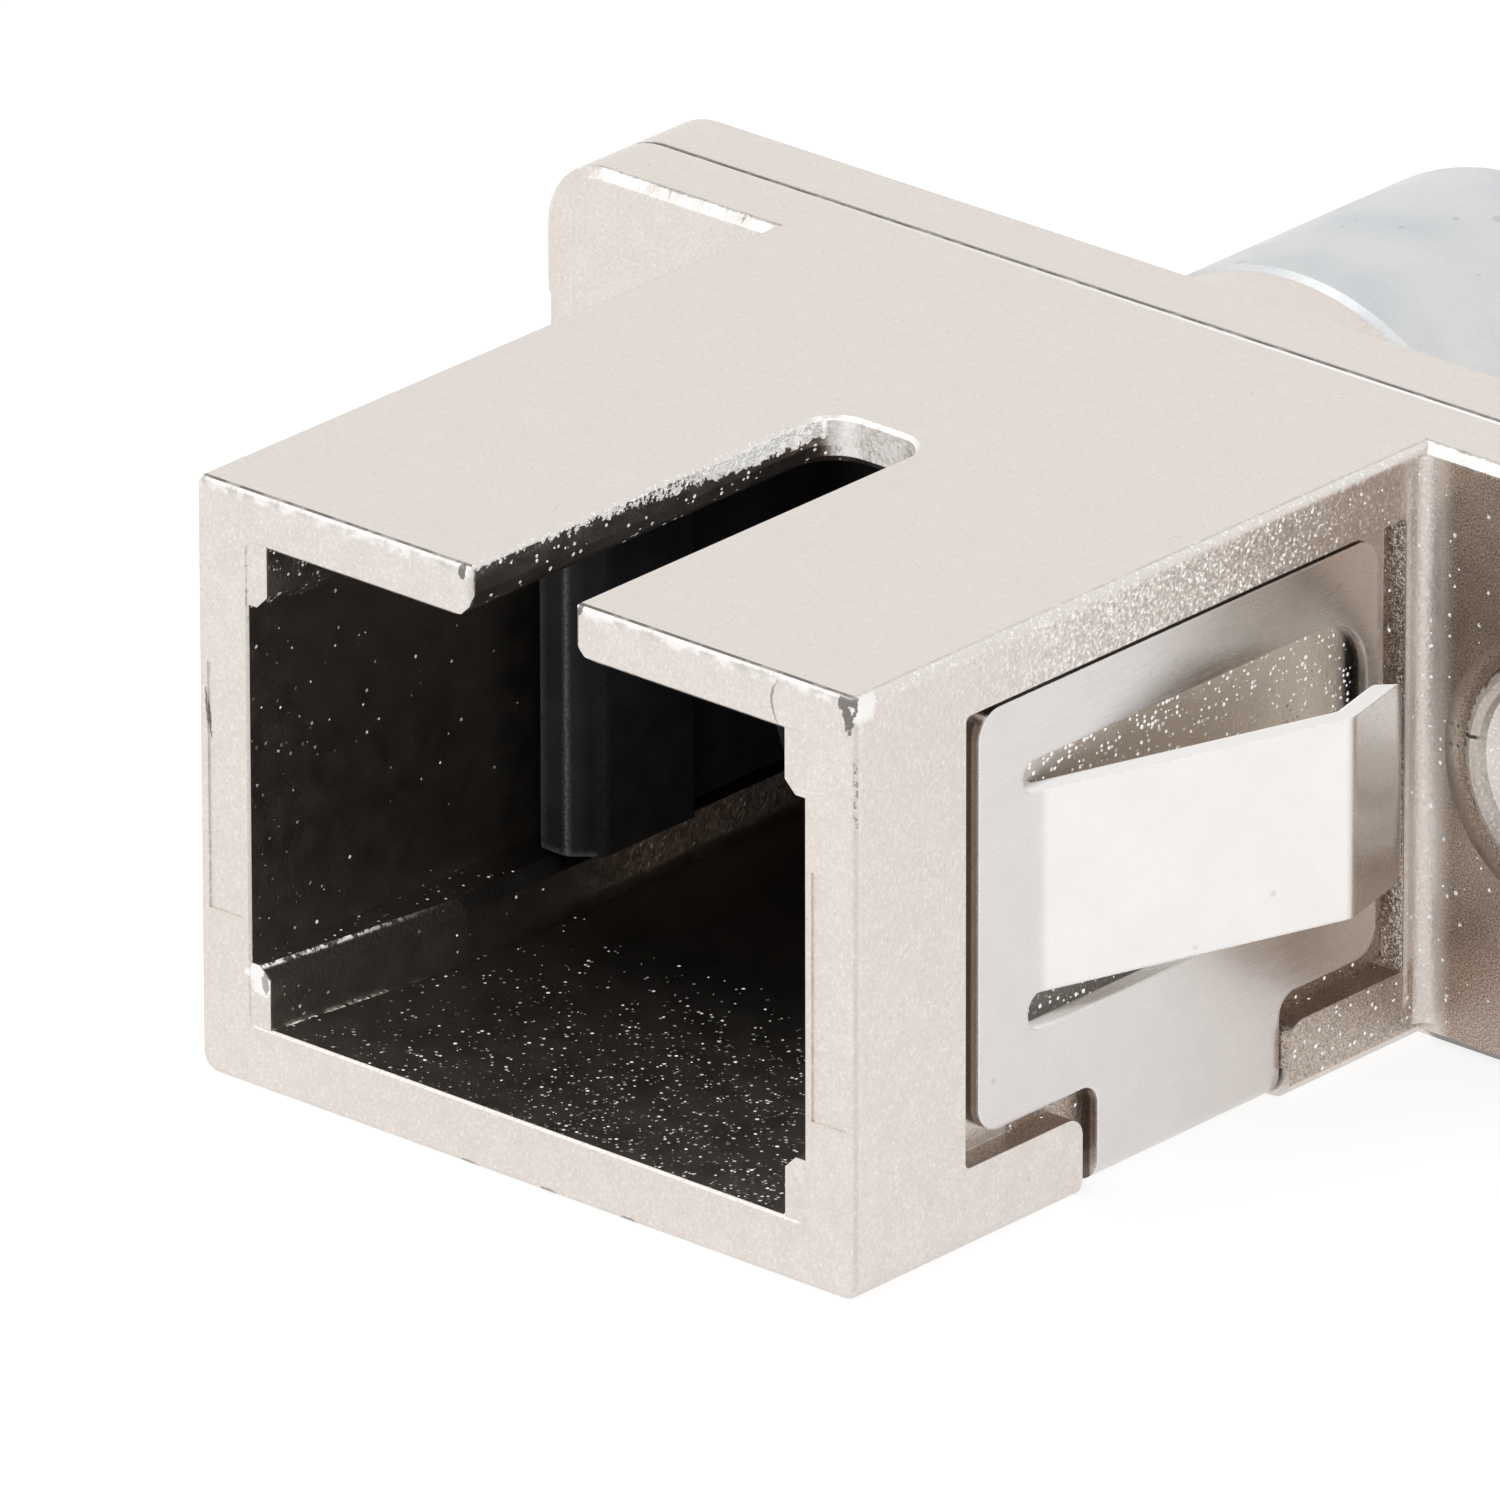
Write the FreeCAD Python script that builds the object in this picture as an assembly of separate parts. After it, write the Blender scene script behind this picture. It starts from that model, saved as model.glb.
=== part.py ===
"""Hybrid fibre adapter: a square push-pull port on one side, a round bayonet port on the other.

Millimetres. X runs across the square port, Y along the optical axis from the square mouth to
the round one, Z up towards the key slot. The origin is on the optical axis, in the front face
of the flange, which is the face that meets the panel.
"""
import FreeCAD, Part
import math
import os

V = FreeCAD.Vector

# Driving dimensions of the square housing
BODY_W = 12.8               # across the square body
BODY_H = 9.5                # body and flange height
BODY_DEPTH = 12.65          # mouth to the flange's front face
TOP_WALL = 0.83
BOTTOM_WALL = 1.01
SIDE_WALL = 1.01
TOP_EDGE_R = 0.18           # small cast edges at the top
BOTTOM_EDGE_R = 0.3         # softer cast edges at the bottom
MOUTH_EDGE_R = 0.13
MOUTH_LEAD = 0.04           # bevel round the opening
PAD_INNER_X = 5.54          # shallow flats that the casting tool left on the mouth's side walls
PAD_OUTER_X = 6.2
PAD_LOW = -2.18
PAD_HIGH = 1.73
PAD_DEPTH = 0.03

# Guide ribs in the four corners of the square port
CAVITY_CORNER_R = 0.15
CHANNEL_HALF_H = 2.85       # half of the gap between an upper and a lower rib
RIB_MOUTH_X = 5.02          # rib face at the mouth, from the axis
RIB_X = 4.5                 # rib face past its lead-in
RIB_LEAD = 3.75             # length of the lead-in
RIB_SETBACK = 0.02          # rib front behind the mouth
RIB_EDGE = 0.2              # bevel along the rib's free edge

# Key slot in the top wall
KEY_W = 2.0
KEY_LEN = 7.88
KEY_END_R = 0.6             # corners of the slot's end
KEY_LIP_R = 0.12
KEY_BEVEL = 0.06            # along the slot's upper edges
KEY_FOOT_R = 0.38           # along its lower edges
KEY_FOOT_STEPS = 3

# Flange: two plates of one outline, with open pockets round the rivets
FLANGE_W = 21.9
FRONT_PLATE = 1.37
REAR_PLATE = 1.39
EAR_CORNER_R = 1.25
PLATE_EDGE = 0.16
SEAM_EDGE = 0.05            # bevels that leave a groove where the plates meet
ROOT_FILLET = 0.3
HOLE_SPACING = 18.0
POCKET_R = 2.2
POCKET_DEPTH = 0.22
POCKET_FLARE = 0.4          # rounded opening of the pocket at the ear's end

# Recess that the spring clip lies in, distances from the mouth
RECESS_DEPTH = 0.45
RECESS_FRONT = 2.4
RECESS_BACK = 12.22
RECESS_TOP = 3.62           # height above the axis
FRONT_BLOCK_TOP = -3.51
REAR_BLOCK_TOP = -3.62
CHANNEL_FRONT = 5.0
CHANNEL_BACK = 9.64
BLOCK_R = 0.32
RECESS_CORNER_R = 0.1

# Spring clip, distances from the mouth
CLIP_T = 0.3
PLATE_FRONT = 2.85
PLATE_BACK = 11.76
PLATE_TOP = 3.46
PLATE_FOOT = -3.19
PLATE_CORNER_R = 0.45
TAIL_FRONT = 5.5
TAIL_BACK = 9.58
TAIL_NOTCH_R = 0.34
CLIP_BEND_R = 0.12          # inside radius under the body's edges
TONGUE_TOP = 1.87
TONGUE_FOOT = -1.32
TONGUE_FLAT = 0.6           # root of the tongue that lies flat in the plate
TONGUE_ROOT = 4.0
TONGUE_RISE = 18.7          # degrees that the tongue stands out
TONGUE_PEAK = 9.1
ROOT_BEND_R = 0.8
CATCH_BEND_R = 0.3          # the end is bent back in here, to catch behind the panel
CATCH_FALL = 13.0           # degrees that the bent end falls
CATCH_RUN = 1.2
CURL_R = 0.8
CURL_TURN = 32.0            # degrees that the last bit curls in
CURL_CORNER_R = 0.55
SLOT_TOP = 2.37
SLOT_FOOT = -1.92
UPPER_SLOT_FRONT = 3.83
LOWER_SLOT_FRONT = 3.95
WINDOW_FRONT = 4.3
WINDOW_BACK = 11.5
WINDOW_R = 1.0

# Hollow rivets
RIVET_BORE_R = 1.2
RIVET_SHANK_R = 1.55
RIVET_ROLL_R = 1.92         # outside of the rolled lip, whose crest is flush with the flange
RIVET_FLARE_R = 0.55        # the bore opens into the lip along this arc
RIVET_FLARE_TURN = 70.0
RIVET_HEAD_R = 1.93
RIVET_HEAD_EDGE = 0.08

# Inner latch: base, two hooks and the front half of the sleeve tube
LATCH_BASE = 1.62
HOOK_TIP = 5.85             # distances of the hook from the mouth
HOOK_LEAD_END = 6.2
HOOK_CATCH = 8.2
HOOK_CATCH_SLOPE = 0.25
HOOK_FACE_X = 3.95
ARM_INNER_X = 4.4
ARM_OUTER_X = 5.02
ARM_HALF_H = 2.78
NOSE_R = 0.2
LEAD_R = 0.06               # where the nose meets the lead-in
FACE_R = 0.15               # where the lead-in meets the hook's inner face
CATCH_R = 0.08
CATCH_ROOT_R = 0.15
ARM_ROOT_R = 0.5

# Alignment sleeve and the tubes that hold it
SLEEVE_LEN = 11.4
SLEEVE_R = 1.6
FERRULE_R = 1.25
SLEEVE_SLIT = 0.4
SLEEVE_BEVEL = 0.12
TUBE_R = 2.2
TUBE_LIP = 0.5
TUBE_MOUTH_R = 1.45
TUBE_LEAD = 0.3
TUBE_EDGE = 0.2
SLEEVE_PLAY = 0.1
COLLAR_R = 3.4
COLLAR_T = 1.23

# Rear boss and round barrel
BOSS_R = 4.12
BOSS_LEN = 1.75
BARREL_R = 4.18
BARREL_REACH = 7.27         # rim behind the flange's back face
BARREL_BORE_R = 3.0
BARREL_BASE_BEVEL = 0.15
BARREL_RIM_R = 0.28
BORE_LEAD = 0.3
LUG_R = 0.95
LUG_HEIGHT = 0.72
LUG_FROM_RIM = 2.6
LUG_EDGE = 0.15
KEYWAY_W = 1.1
KEYWAY_LEN = 2.4

# Places that follow from the dimensions above
CAVITY_HALF_W = BODY_W / 2 - SIDE_WALL
CAVITY_HALF_H = (BODY_H - TOP_WALL - BOTTOM_WALL) / 2
TOP = CAVITY_HALF_H + TOP_WALL
BOTTOM = -CAVITY_HALF_H - BOTTOM_WALL
SIDE = BODY_W / 2
MOUTH = -BODY_DEPTH
PARTING = FRONT_PLATE
FLANGE_BACK = FRONT_PLATE + REAR_PLATE
BOSS_END = FLANGE_BACK + BOSS_LEN
RIM = FLANGE_BACK + BARREL_REACH
LATCH_FRONT = PARTING - LATCH_BASE
COLLAR_BACK = PARTING + COLLAR_T
TUBE_REACH = SLEEVE_LEN / 2 + SLEEVE_PLAY + TUBE_LIP
RECESS_FLOOR = SIDE - RECESS_DEPTH
CHANNEL_FLOOR = BOTTOM + CLIP_T
EPS = 0.5                   # overshoot of cutting tools
TINY = 0.01                 # keeps a short straight between two round corners
SAME = 1e-6                 # distance below which two places are the same


def from_mouth(distance):
    return MOUTH + distance


def box(x0, x1, y0, y1, z0, z1):
    return Part.makeBox(x1 - x0, y1 - y0, z1 - z0, V(x0, y0, z0))


def rounded_wire(points, radii, place):
    """Closed outline through corner points, each corner rounded by its radius (0 keeps it)."""
    count = len(points)
    starts = []
    edges = []
    for i in range(count):
        before = V(*points[i - 1], 0)
        corner = V(*points[i], 0)
        after = V(*points[(i + 1) % count], 0)
        back = (before - corner).normalize()
        ahead = (after - corner).normalize()
        half = back.getAngle(ahead) / 2
        if radii[i] == 0:
            starts.append((corner, corner))
            continue
        reach = radii[i] / math.tan(half)
        middle = (back + ahead).normalize()
        centre = corner + middle * (radii[i] / math.sin(half))
        enter = corner + back * reach
        leave = corner + ahead * reach
        edges.append(Part.Arc(place(enter), place(centre - middle * radii[i]), place(leave)).toShape())
        starts.append((enter, leave))
    for i in range(count):
        leave = place(starts[i][1])
        enter = place(starts[(i + 1) % count][0])
        if leave.distanceToPoint(enter) > SAME:
            edges.append(Part.makeLine(leave, enter))
    return Part.Wire(Part.__sortEdges__(edges))


def prism(points, radii, place, along):
    if not isinstance(radii, (list, tuple)):
        radii = [radii] * len(points)
    return Part.Face(rounded_wire(points, radii, place)).extrude(along)


def plan_prism(points, radii, z0, z1):
    """Outline in X and Y, drawn up from z0 to z1."""
    return prism(points, radii, lambda p: V(p.x, p.y, z0), V(0, 0, z1 - z0))


def front_prism(points, radii, y0, y1):
    """Outline in X and Z, drawn back from y0 to y1."""
    return prism(points, radii, lambda p: V(p.x, y0, p.y), V(0, y1 - y0, 0))


def side_prism(points, radii, x0, x1):
    """Outline in Y and Z, drawn across from x0 to x1."""
    return prism(points, radii, lambda p: V(x0, p.x, p.y), V(x1 - x0, 0, 0))


def turned(profile, x=0.0):
    """Ring turned about an axis along Y at X = x, from corners given as radius and Y."""
    points = [V(x + r, y, 0) for r, y in profile]
    wire = Part.makePolygon(points + points[:1])
    return Part.Face(wire).revolve(V(x, 0, 0), V(0, 1, 0), 360)


def arc_steps(centre_r, centre_y, radius, start, end, steps):
    """Corners along an arc of a turned profile, between two angles, so that its facets stay few."""
    angles = [math.radians(start + (end - start) * i / steps) for i in range(steps + 1)]
    return [(centre_r + radius * math.cos(a), centre_y + radius * math.sin(a)) for a in angles]


def rod(radius, y0, y1, x=0.0):
    return Part.makeCylinder(radius, y1 - y0, V(x, y0, 0), V(0, 1, 0))


def mirrored(shape):
    return shape.mirror(V(0, 0, 0), V(1, 0, 0))


def both_sides(shape):
    return [shape, mirrored(shape)]


def edges_at(shape, y):
    return [e for e in shape.Edges if all(abs(v.Point.y - y) < SAME for v in e.Vertexes)]


def bevelled(shape, y, size):
    """The shape with the edges of its face at that Y bevelled."""
    return shape.makeChamfer(size, edges_at(shape, y))


def rectangle(x0, x1, z0, z1):
    return [(x0, z0), (x1, z0), (x1, z1), (x0, z1)]


def plate_outline():
    return rectangle(-FLANGE_W / 2, FLANGE_W / 2, BOTTOM, TOP)


def ear_pocket(side, y0, y1):
    """Pocket round a rivet, open towards the end of the ear and flared there."""
    centre = HOLE_SPACING / 2
    end = FLANGE_W / 2
    flare = POCKET_FLARE
    upper = [(centre, POCKET_R), (end - flare, POCKET_R), (end + flare, POCKET_R + 2 * flare)]
    outline = [(side * x, z) for x, z in upper] + [(side * x, -z) for x, z in reversed(upper)]
    slot = front_prism(outline, [0, 2 * flare, 0, 0, 2 * flare, 0], y0, y1)
    return rod(POCKET_R, y0, y1, side * centre).fuse(slot)


def flange_cuts(pocket_y0, pocket_y1):
    """Rivet holes through a plate and the pockets on its outer face."""
    cuts = []
    for side in (-1, 1):
        cuts.append(ear_pocket(side, pocket_y0, pocket_y1))
        cuts.append(rod(RIVET_SHANK_R, -EPS, FLANGE_BACK + EPS, side * HOLE_SPACING / 2))
    return cuts


def guide_rib(upper):
    """One rib of the right-hand pair, with its lead-in from the mouth."""
    front = MOUTH + RIB_SETBACK
    outline = [
        (CAVITY_HALF_W + EPS / 2, front),
        (RIB_MOUTH_X, front),
        (RIB_X, from_mouth(RIB_LEAD)),
        (RIB_X, LATCH_FRONT),
        (CAVITY_HALF_W + EPS / 2, LATCH_FRONT),
    ]
    rib = plan_prism(outline, 0, CHANNEL_HALF_H, CAVITY_HALF_H + EPS / 2)
    free = [e for e in rib.Edges if all(abs(v.Point.z - CHANNEL_HALF_H) < SAME
                                        and v.Point.x < CAVITY_HALF_W for v in e.Vertexes)]
    rib = rib.makeChamfer(RIB_EDGE, free)
    return rib if upper else rib.mirror(V(0, 0, 0), V(0, 0, 1))


def key_outline(grow, z):
    """Outline of the key slot at height z, widened by grow, with its rounded end."""
    half = KEY_W / 2 + grow
    end = from_mouth(KEY_LEN + grow)
    corners = [(-half, MOUTH - EPS), (half, MOUTH - EPS), (half, end), (-half, end)]
    return rounded_wire(corners, [0, 0, KEY_END_R + grow, KEY_END_R + grow], lambda p: V(p.x, p.y, z))


def key_slot():
    """Slot through the top wall, bevelled above, rounded below and at its lips."""
    half = KEY_W / 2
    slot = Part.Face(key_outline(0, 0)).extrude(V(0, 0, TOP + EPS))
    bevel = [key_outline(0, TOP - KEY_BEVEL), key_outline(KEY_BEVEL, TOP)]
    foot = []
    for i in range(KEY_FOOT_STEPS + 1):
        turn = math.pi / 2 * i / KEY_FOOT_STEPS
        height = CAVITY_HALF_H + KEY_FOOT_R * (1 - math.sin(turn))
        foot.append(key_outline(KEY_FOOT_R * (1 - math.cos(turn)), height))
    flares = [Part.makeLoft(outlines, True, True) for outlines in (bevel, foot)]
    lip = box(half, half + KEY_LIP_R, MOUTH - EPS, MOUTH + KEY_LIP_R, 0, TOP + EPS)
    lip = lip.cut(Part.makeCylinder(KEY_LIP_R, TOP + EPS, V(half + KEY_LIP_R, MOUTH + KEY_LIP_R, 0)))
    return slot.multiFuse(flares + both_sides(lip))


def clip_recess():
    """Recess in each side, joined by the channel under the body."""
    outline = [
        (from_mouth(RECESS_FRONT), FRONT_BLOCK_TOP),
        (from_mouth(CHANNEL_FRONT), FRONT_BLOCK_TOP),
        (from_mouth(CHANNEL_FRONT), BOTTOM - EPS),
        (from_mouth(CHANNEL_BACK), BOTTOM - EPS),
        (from_mouth(CHANNEL_BACK), REAR_BLOCK_TOP),
        (from_mouth(RECESS_BACK), REAR_BLOCK_TOP),
        (from_mouth(RECESS_BACK), RECESS_TOP),
        (from_mouth(RECESS_FRONT), RECESS_TOP),
    ]
    small = RECESS_CORNER_R
    radii = [small, BLOCK_R, 0, 0, BLOCK_R, small, small, small]
    sides = both_sides(side_prism(outline, radii, RECESS_FLOOR, SIDE + EPS))
    y0, y1 = from_mouth(CHANNEL_FRONT), from_mouth(CHANNEL_BACK)
    under = box(-SIDE, SIDE, y0, y1, BOTTOM - EPS, CHANNEL_FLOOR + CLIP_BEND_R)
    core = front_prism(
        rectangle(-RECESS_FLOOR, RECESS_FLOOR, CHANNEL_FLOOR, TOP),
        [CLIP_BEND_R, CLIP_BEND_R, 0, 0], y0 - EPS, y1 + EPS)
    return sides + [under.cut(core)]


def cavity_outline(grow, y):
    half_w, half_h = CAVITY_HALF_W + grow, CAVITY_HALF_H + grow
    corners = rectangle(-half_w, half_w, -half_h, half_h)
    return rounded_wire(corners, [CAVITY_CORNER_R] * 4, lambda p: V(p.x, y, p.y))


def root_fillet():
    """Cove between the body's right side and the flange's front face."""
    z0, z1 = BOTTOM + BOTTOM_EDGE_R, TOP - PLATE_EDGE
    cove = box(SIDE, SIDE + ROOT_FILLET, -ROOT_FILLET, 0, z0, z1)
    return cove.cut(Part.makeCylinder(ROOT_FILLET, z1 - z0, V(SIDE + ROOT_FILLET, -ROOT_FILLET, z0)))


def make_housing():
    body = front_prism(
        rectangle(-SIDE, SIDE, BOTTOM, TOP),
        [BOTTOM_EDGE_R, BOTTOM_EDGE_R, TOP_EDGE_R, TOP_EDGE_R], MOUTH, PARTING / 2)
    body = body.makeFillet(MOUTH_EDGE_R, edges_at(body, MOUTH))
    plate = front_prism(plate_outline(), EAR_CORNER_R, 0, PARTING)
    plate = bevelled(bevelled(plate, 0, PLATE_EDGE), PARTING, SEAM_EDGE)
    cavity = Part.Face(cavity_outline(0, MOUTH - EPS)).extrude(V(0, BODY_DEPTH + PARTING + 2 * EPS, 0))
    lead_wires = [cavity_outline(MOUTH_LEAD, MOUTH), cavity_outline(0, MOUTH + MOUTH_LEAD)]
    lead = Part.makeLoft(lead_wires, True, True)
    ribs = [rib for upper in (True, False) for rib in both_sides(guide_rib(upper))]
    pad = box(PAD_INNER_X, PAD_OUTER_X, MOUTH - EPS, MOUTH + PAD_DEPTH, PAD_LOW, PAD_HIGH)
    shell = body.multiFuse([plate] + both_sides(root_fillet()))
    shell = shell.cut([cavity, lead]).multiFuse(ribs)
    cuts = [key_slot()] + clip_recess() + flange_cuts(-EPS, POCKET_DEPTH) + both_sides(pad)
    return shell.cut(cuts).removeSplitter()


def make_rear_flange():
    plate = front_prism(plate_outline(), EAR_CORNER_R, PARTING, FLANGE_BACK)
    plate = bevelled(bevelled(plate, FLANGE_BACK, PLATE_EDGE), PARTING, SEAM_EDGE)
    boss = rod(BOSS_R, PARTING, BOSS_END)
    shape = plate.fuse(boss).cut([rod(COLLAR_R, PARTING - EPS, BOSS_END + EPS)]
                                 + flange_cuts(FLANGE_BACK - POCKET_DEPTH, FLANGE_BACK + EPS))
    return shape.removeSplitter()


def make_barrel():
    spigot = [(BARREL_BORE_R, COLLAR_BACK), (COLLAR_R, COLLAR_BACK), (COLLAR_R, BOSS_END)]
    base = [(BARREL_R - BARREL_BASE_BEVEL, BOSS_END), (BARREL_R, BOSS_END + BARREL_BASE_BEVEL)]
    rim = arc_steps(BARREL_R - BARREL_RIM_R, RIM - BARREL_RIM_R, BARREL_RIM_R, 0, 90, 3)
    bore = [(BARREL_BORE_R + BORE_LEAD, RIM), (BARREL_BORE_R, RIM - BORE_LEAD)]
    tube = turned(spigot + base + rim + bore)
    lugs = []
    for side in (-1, 1):
        lug = Part.makeCylinder(LUG_R, BARREL_R + LUG_HEIGHT - BARREL_BORE_R - EPS,
                                V(side * (BARREL_BORE_R + EPS), RIM - LUG_FROM_RIM, 0), V(side, 0, 0))
        tip = [e for e in lug.Edges if len(e.Vertexes) == 1
               and abs(abs(e.CenterOfMass.x) - BARREL_R - LUG_HEIGHT) < SAME]
        lugs.append(lug.makeChamfer(LUG_EDGE, tip))
    keyway_root = RIM - KEYWAY_LEN
    keyway = plan_prism([(-KEYWAY_W / 2, keyway_root), (KEYWAY_W / 2, keyway_root),
                         (KEYWAY_W / 2, RIM + EPS), (-KEYWAY_W / 2, RIM + EPS)],
                        [KEYWAY_W / 2 - TINY, KEYWAY_W / 2 - TINY, 0, 0], -BARREL_R - EPS, -TUBE_R)
    return tube.multiFuse(lugs).cut(keyway).removeSplitter()


def strip(start, heading, steps, thickness):
    """Bent strip in plan: steps are ("run", length) or ("bend", middle radius, degrees to the left)."""
    left_edges, right_edges = [], []
    at, angle = start, math.radians(heading)

    def offset(point, direction, side):
        return point + V(-math.sin(direction), math.cos(direction), 0) * (side * thickness / 2)

    first = (offset(at, angle, 1), offset(at, angle, -1))
    for step in steps:
        if step[0] == "run":
            there = at + V(math.cos(angle), math.sin(angle), 0) * step[1]
            for edges, side in ((left_edges, 1), (right_edges, -1)):
                edges.append(Part.makeLine(offset(at, angle, side), offset(there, angle, side)))
            at = there
            continue
        turn = math.radians(step[2])
        way = 1 if turn > 0 else -1
        centre = at + V(-math.sin(angle), math.cos(angle), 0) * (way * step[1])

        def along(share):
            there = angle + turn * share
            return centre - V(-math.sin(there), math.cos(there), 0) * (way * step[1]), there

        for edges, side in ((left_edges, 1), (right_edges, -1)):
            edges.append(Part.Arc(*[offset(*along(share), side) for share in (0, 0.5, 1)]).toShape())
        at, angle = along(1)
    last = (offset(at, angle, 1), offset(at, angle, -1))
    caps = [Part.makeLine(*first), Part.makeLine(*last)]
    return Part.Face(Part.Wire(Part.__sortEdges__(left_edges + right_edges + caps))), at


def clip_tongue():
    """Sprung tongue of the right-hand side: flat root, rising run, end bent back in."""
    middle_x = RECESS_FLOOR + CLIP_T / 2
    rise = math.radians(TONGUE_RISE)
    bend_y = 2 * ROOT_BEND_R * math.sin(rise / 2) * math.cos(rise / 2)
    run = (TONGUE_PEAK - TONGUE_ROOT - bend_y) / math.cos(rise)
    start = V(middle_x, from_mouth(TONGUE_ROOT - TONGUE_FLAT), 0)
    steps = [
        ("run", TONGUE_FLAT),
        ("bend", ROOT_BEND_R, -TONGUE_RISE),
        ("run", run),
        ("bend", CATCH_BEND_R, TONGUE_RISE + CATCH_FALL),
        ("run", CATCH_RUN),
        ("bend", CURL_R, CURL_TURN),
    ]
    face, tip = strip(start, 90, steps, CLIP_T)
    face.translate(V(0, 0, TONGUE_FOOT))
    tongue = face.extrude(V(0, 0, TONGUE_TOP - TONGUE_FOOT))
    corners = [e for e in tongue.Edges if len(e.Vertexes) == 2 and abs(e.Length - CLIP_T) < SAME
               and e.CenterOfMass.distanceToPoint(V(tip.x, tip.y, e.CenterOfMass.z)) < 1e-3]
    return tongue.makeFillet(CURL_CORNER_R, corners)


def clip_side():
    """Right-hand side of the clip: plate with its window, its tongue and the tail's upper part."""
    bend_top = CHANNEL_FLOOR + CLIP_BEND_R
    outline = [
        (from_mouth(PLATE_FRONT), PLATE_FOOT), (from_mouth(TAIL_FRONT), PLATE_FOOT),
        (from_mouth(TAIL_FRONT), bend_top), (from_mouth(TAIL_BACK), bend_top),
        (from_mouth(TAIL_BACK), PLATE_FOOT), (from_mouth(PLATE_BACK), PLATE_FOOT),
        (from_mouth(PLATE_BACK), PLATE_TOP), (from_mouth(PLATE_FRONT), PLATE_TOP),
    ]
    radii = [PLATE_CORNER_R, TAIL_NOTCH_R, 0, 0, TAIL_NOTCH_R] + [PLATE_CORNER_R] * 3
    x0, x1 = RECESS_FLOOR, RECESS_FLOOR + CLIP_T
    plate = side_prism(outline, radii, x0, x1)
    front, back = from_mouth(WINDOW_FRONT), from_mouth(WINDOW_BACK)
    window = [(front, SLOT_FOOT), (back, SLOT_FOOT), (back, SLOT_TOP), (front, SLOT_TOP)]
    cuts = [side_prism(window, [0, WINDOW_R, WINDOW_R, 0], x0 - EPS, x1 + EPS)]
    slots = ((TONGUE_TOP, SLOT_TOP, UPPER_SLOT_FRONT), (SLOT_FOOT, TONGUE_FOOT, LOWER_SLOT_FRONT))
    for low, high, start in slots:
        end_r = (high - low - TINY) / 2
        slot = [(from_mouth(start), low), (front + EPS, low), (front + EPS, high), (from_mouth(start), high)]
        cuts.append(side_prism(slot, [end_r, 0, 0, end_r], x0 - EPS, x1 + EPS))
    return plate.cut(cuts).fuse(clip_tongue())


def make_clip():
    """U-shaped spring clip: both sides and the strip that passes under the body."""
    outer_x, outer_z = RECESS_FLOOR + CLIP_T, CHANNEL_FLOOR - CLIP_T
    y0, y1 = from_mouth(TAIL_FRONT), from_mouth(TAIL_BACK)
    bend_top = CHANNEL_FLOOR + CLIP_BEND_R
    outer_r = CLIP_BEND_R + CLIP_T
    outside = front_prism(rectangle(-outer_x, outer_x, outer_z, bend_top), [outer_r, outer_r, 0, 0], y0, y1)
    inside = front_prism(rectangle(-RECESS_FLOOR, RECESS_FLOOR, CHANNEL_FLOOR, bend_top + EPS),
                         [CLIP_BEND_R, CLIP_BEND_R, 0, 0], y0 - EPS, y1 + EPS)
    return outside.cut(inside).multiFuse(both_sides(clip_side())).removeSplitter()


def make_rivet(x):
    """Hollow rivet: flat head behind, shank through both plates, lip rolled over in front."""
    seat, back = POCKET_DEPTH, FLANGE_BACK - POCKET_DEPTH
    turn = math.radians(RIVET_FLARE_TURN)
    lip_r = RIVET_BORE_R + RIVET_FLARE_R * (1 - math.cos(turn))
    roll_r = (RIVET_ROLL_R - lip_r) / 2
    flare_y = roll_r + RIVET_FLARE_R * math.sin(turn)
    flare = arc_steps(RIVET_BORE_R + RIVET_FLARE_R, flare_y, RIVET_FLARE_R, 180, 180 + RIVET_FLARE_TURN, 2)
    roll = arc_steps(lip_r + roll_r, roll_r, roll_r, 180, 360, 4)
    shank = [(RIVET_ROLL_R, seat), (RIVET_SHANK_R, seat), (RIVET_SHANK_R, back)]
    head = [(RIVET_HEAD_R, back), (RIVET_HEAD_R, FLANGE_BACK - RIVET_HEAD_EDGE),
            (RIVET_HEAD_R - RIVET_HEAD_EDGE, FLANGE_BACK), (RIVET_BORE_R, FLANGE_BACK)]
    return turned(flare + roll[1:] + shank + head, x)


def make_rivets():
    return Part.makeCompound([make_rivet(side * HOLE_SPACING / 2) for side in (-1, 1)])


def sleeve_tube(toward):
    """Half of the sleeve's tube, from the parting plane forward (-1) or back (+1)."""
    def at(distance):
        return PARTING + toward * distance
    return turned([
        (SLEEVE_R, at(0)), (TUBE_R, at(0)),
        (TUBE_R, at(TUBE_REACH - TUBE_EDGE)), (TUBE_R - TUBE_EDGE, at(TUBE_REACH)),
        (TUBE_MOUTH_R + TUBE_LEAD, at(TUBE_REACH)), (TUBE_MOUTH_R, at(TUBE_REACH - TUBE_LEAD)),
        (TUBE_MOUTH_R, at(TUBE_REACH - TUBE_LIP)), (SLEEVE_R, at(TUBE_REACH - TUBE_LIP))])


def latch_hook():
    """Right-hand hook: arm, catch, lead-in face and rounded nose."""
    tip = from_mouth(HOOK_TIP)
    outline = [
        (ARM_OUTER_X, LATCH_FRONT + EPS), (ARM_OUTER_X, tip), (ARM_INNER_X, tip),
        (HOOK_FACE_X, from_mouth(HOOK_LEAD_END)), (HOOK_FACE_X, from_mouth(HOOK_CATCH)),
        (ARM_INNER_X, from_mouth(HOOK_CATCH + HOOK_CATCH_SLOPE)), (ARM_INNER_X, LATCH_FRONT + EPS),
    ]
    radii = [0, NOSE_R, LEAD_R, FACE_R, CATCH_R, CATCH_ROOT_R, 0]
    return plan_prism(outline, radii, -ARM_HALF_H, ARM_HALF_H)


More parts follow.
